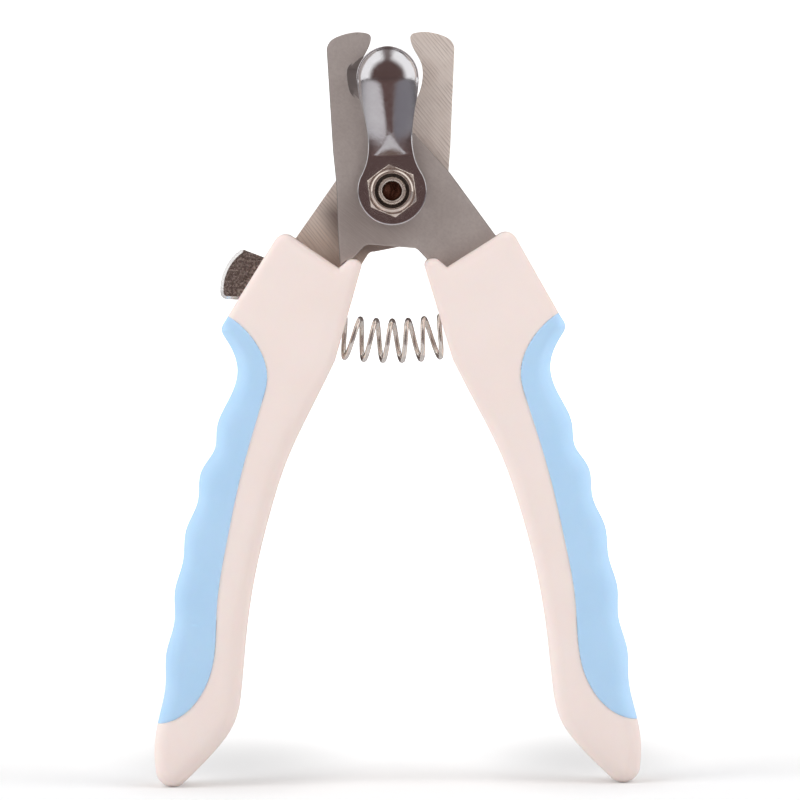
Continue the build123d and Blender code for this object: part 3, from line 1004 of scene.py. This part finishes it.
def make_spring():
    """A right-handed open coil that sags a little and fans out towards its lower side, as the two
    handles do.
    """
    low, high = corner_mm("return_spring", 0), corner_mm("return_spring", 1)
    centre = (low + high) / 2
    mean_r = (high[2] - low[2]) / 2 - spring_wire_r
    half_length = (high[0] - low[0]) / 2 - spring_wire_r
    turns = 2 * half_length / spring_pitch
    count = int(turns * points_per_turn)
    share = np.linspace(-1, 1, count)
    angle = pi * turns * share + spring_phase
    rise = mean_r * np.cos(angle)
    sag = np.maximum(1 - (half_length * share / spring_free_half) ** 2, 0)
    x = centre[0] + half_length * share * (1 - spring_fan * rise)
    y = centre[1] + mean_r * np.sin(angle)
    z = centre[2] + rise + spring_lift - spring_sag * sag
    line = np.column_stack([x, y, z])
    ahead = np.gradient(line, axis=0)
    ahead /= np.linalg.norm(ahead, axis=1)[:, None]
    outwards = np.column_stack([0 * angle, np.sin(angle), np.cos(angle)])
    sideways = np.cross(ahead, outwards)
    sideways /= np.linalg.norm(sideways, axis=1)[:, None]
    outwards = np.cross(sideways, ahead)
    points = []
    for k in range(count):
        for j in range(wire_sides):
            turn = 2 * pi * j / wire_sides
            points.append(line[k] + spring_wire_r * (cos(turn) * outwards[k] + sin(turn) * sideways[k]))
    faces = []
    for k in range(count - 1):
        for j in range(wire_sides):
            a, b = k * wire_sides + j, k * wire_sides + (j + 1) % wire_sides
            faces.append((a, b, b + wire_sides, a + wire_sides))
    faces.append(tuple(range(wire_sides - 1, -1, -1)))
    faces.append(tuple(range((count - 1) * wire_sides, count * wire_sides)))
    spring = add_object("spring_coil", points, faces)
    faces_outwards(spring.data)
    dress(spring, "spring_wire", 50)
    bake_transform(spring)
    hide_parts("return_spring")


# ---------------------------------------------------------------- thumb lock

outer_end_x = -24.5
rim_bevel_width = 0.55
rim_bevel_height = rim_bevel_width * tan(radians(40))
lever_front_rim = 0.1
lever_back_rim = 0.15


def make_lever():
    """The lock lever, with a stippled thumb pad and a bright bevel round its outer end."""
    low, high = depths("lock_lever")
    loops = [divided(loop, 0.2) for loop in outlines("lock_lever", low)]
    face = filled(loops, seeds(loops, (0.05, 0.12, 0.25, 0.40, 0.55, 0.65, 0.75), 0.14))
    starts, ends = segments(loops)
    into = np.vstack([inward(loop) for loop in loops])
    outer_end = (starts[:, 0] < outer_end_x) & ((into[:, 0] > 0.35) | (into[:, 1] > 0.6))
    rim = distance(face[0], starts, ends)
    gap = distance(face[0], starts[outer_end], ends[outer_end])
    bevel = np.clip(1 - gap / rim_bevel_width, 0, 1) * rim_bevel_height
    front = low + edge_drop(rim, lever_front_rim) + bevel
    back = high - edge_drop(rim, lever_back_rim)
    lever = slab("lock_lever_coined", face, front, back)
    place(lever, "lock", "lever_steel", "lever_steel", "lock_lever", crease=25)


# ---------------------------------------------------------------- floor, light and camera


# The sweep, in metres
floor_front = -2.4
floor_end = 1.5
sweep_r = 0.8
backdrop_top = 3.2
floor_half = 3.2

# The paper, in millimetres; the soft shade beside each handle tip is (centre, half-width) across
mirror_eye_z = 115
tip_shades = ((-29, 22), (33, 18))
tip_shade_y = 40
tip_shade_half_depth = 60

# The share of light that a tip's shade takes away in its middle
tip_shade_share = 0.25


def paint_mirrored(made, mirrored):
    """How polished steel sees the paper: grey, with the darker parts of a studio painted in.

    A spot is told by its direction from the middle of the guard."""
    towards = made.node("ShaderNodeVectorMath", operation="SUBTRACT")
    towards.inputs[1].default_value = (0, 0, mirror_eye_z)
    made.tree.links.new(made.position(), towards.inputs[0])
    unit = made.node("ShaderNodeVectorMath", operation="NORMALIZE")
    made.tree.links.new(towards.outputs["Vector"], unit.inputs[0])
    direction = made.parts(unit.outputs["Vector"])
    shallow = made.ranged(direction["Z"], -0.60, -0.50)
    right = made.math("MULTIPLY", shallow, made.ranged(direction["X"], -0.2, 0.5))
    far = made.ranged(direction["Z"], -0.42, -0.05, 0.0, 0.75)
    width = made.math("ADD", made.math("MULTIPLY", direction["Z"], 1.15), 0.82)
    sideways = made.math("DIVIDE", made.math("ABSOLUTE", direction["X"]), width)
    ahead = made.math("MULTIPLY", shallow, made.ranged(sideways, 0.85, 1.45, 1.0, 0.0))
    made.blend(mirrored, (0.50, 0.49, 0.50))
    made.blend(made.math("MULTIPLY", mirrored, right), (0.15, 0.145, 0.165))
    made.blend(made.math("MULTIPLY", mirrored, far), (0.13, 0.125, 0.135))
    made.blend(made.math("MULTIPLY", mirrored, ahead), (0.09, 0.05, 0.045))


def studio_paper():
    """Matt white paper with a painted glow that grows towards the backdrop, and painted shade beside
    the handle tips.
    """
    made = Finish("studio_paper", (0.79, 0.795, 0.795), 0.9)
    made.shader.inputs["Emission Color"].default_value = (1, 1, 1, 1)
    seen = made.node("ShaderNodeLightPath").outputs
    # Painted glow that grows towards the backdrop; glossy rays don't see it
    glow = made.ranged(made.axis("Y"), 0, 600, 0.06, 0.7)
    glow = made.math("MULTIPLY", glow, made.math("SUBTRACT", 1.0, seen["Is Glossy Ray"]))
    # Camera rays see more painted glow, which lifts the band of shadow the handles cast on the paper
    glow = made.math("ADD", glow, made.math("MULTIPLY", seen["Is Camera Ray"], 0.08))
    paint_mirrored(made, seen["Is Glossy Ray"])
    behind = made.math("SUBTRACT", made.axis("Y"), tip_shade_y)
    behind = made.math("DIVIDE", behind, tip_shade_half_depth)
    # Painted shade beside each handle tip, darkening both the paper's colour and its glow
    for x, half_width in tip_shades:
        across = made.math("DIVIDE", made.math("SUBTRACT", made.axis("X"), x), half_width)
        reach = made.math("ADD", made.square(across), made.square(behind))
        fade = made.square(made.ranged(reach, 0.0, 1.7, 1.0, 0.0))
        shade = made.math("MULTIPLY", fade, tip_shade_share)
        made.blend(shade, (0, 0, 0))
        glow = made.math("MULTIPLY", glow, made.math("SUBTRACT", 1.0, shade))
    made.tree.links.new(glow, made.shader.inputs["Emission Strength"])
    made.bump(made.noise(1.5, 2), 0.01)
    return made.material


def make_sweep():
    """A pale floor that curves up into a backdrop behind the object."""
    profile = [(floor_front, 0.0), (0.0, 0.0), (floor_end, 0.0)]
    for k in range(1, 25):
        angle = pi / 2 * k / 24
        profile.append((floor_end + sweep_r * sin(angle), sweep_r * (1 - cos(angle))))
    profile.append((floor_end + sweep_r, backdrop_top))
    points = [(x, y, z) for y, z in profile for x in (-floor_half, floor_half)]
    faces = [(2 * k, 2 * k + 1, 2 * k + 3, 2 * k + 2) for k in range(len(profile) - 1)]
    floor = add_object("studio_floor", points, faces)
    floor.data.shade_smooth()
    floor.data.materials.append(studio_paper())


def soft_box(name, spot, target, size, watts):
    """A rectangular studio light aimed at a point, which polished steel doesn't mirror."""
    light = bpy.data.lights.new(name, "AREA")
    light.shape = "RECTANGLE"
    light.size, light.size_y = size
    light.energy = watts
    lamp = bpy.data.objects.new(name, light)
    lamp.location = spot
    lamp.rotation_euler = (Vector(target) - Vector(spot)).to_track_quat("-Z", "Y").to_euler()
    lamp.visible_glossy = False
    bpy.context.scene.collection.objects.link(lamp)


def light_studio():
    """Even light from a white tent, open towards the camera, with a box light each side."""
    middle = (0, 0, 0.07)
    soft_box("left_box", (-0.6, -0.35, 0.5), middle, (0.6, 0.8), 3.65)
    soft_box("right_box", (0.6, -0.35, 0.45), middle, (0.6, 0.8), 3.3)
    world = bpy.data.worlds.new("studio_air")
    world.use_nodes = True
    air = Nodes(world.node_tree)
    direction = air.parts(air.node("ShaderNodeTexCoord").outputs["Generated"])
    tent = air.ranged(direction["Y"], -0.62, -0.22, curve="SMOOTHSTEP")
    seam = air.ranged(air.math("ABSOLUTE", direction["X"]), 0.06, 0.34, 0.1, 1.0, curve="SMOOTHSTEP")
    seen = air.node("ShaderNodeLightPath").outputs
    white = air.math("MAXIMUM", air.math("MULTIPLY", tent, seam), seen["Is Camera Ray"])
    shown = air.mix(white, (0.11, 0.07, 0.065), (1, 1, 1))
    air.tree.links.new(shown, air.tree.nodes["Background"].inputs["Color"])
    bpy.context.scene.world = world


# The camera, in metres and degrees
camera_distance = 1.1
camera_elevation = 2.2
camera_roll = -0.58
frame_height = 0.1387
camera_target = (0.0010, mid_y * MM, 0.0666)


def place_camera():
    """A long lens straight in front and a little above."""
    target = Vector(camera_target)
    elevation = radians(camera_elevation)
    lens = bpy.data.cameras.new("camera")
    lens.sensor_width = 36
    lens.lens = lens.sensor_width * camera_distance / frame_height
    camera = bpy.data.objects.new("camera", lens)
    camera.location = target + Vector((0, -cos(elevation), sin(elevation))) * camera_distance
    aim = (target - camera.location).to_track_quat("-Z", "Y").to_matrix().to_4x4()
    camera.rotation_euler = (aim @ Matrix.Rotation(radians(camera_roll), 4, "Z")).to_euler()
    bpy.context.scene.collection.objects.link(camera)
    bpy.context.scene.camera = camera


finish_cad_nodes()
for side in ("left", "right"):
    make_handle(side)
make_blade("front_blade", "right_half", "satin_steel", -1)
make_blade("rear_blade", "left_half", "ground_steel", 1)
make_guard()
make_nut()
make_bolt()
make_locking_ring()
make_spring()
make_lever()
make_sweep()
light_studio()
place_camera()
bpy.context.scene.view_settings.view_transform = "Standard"
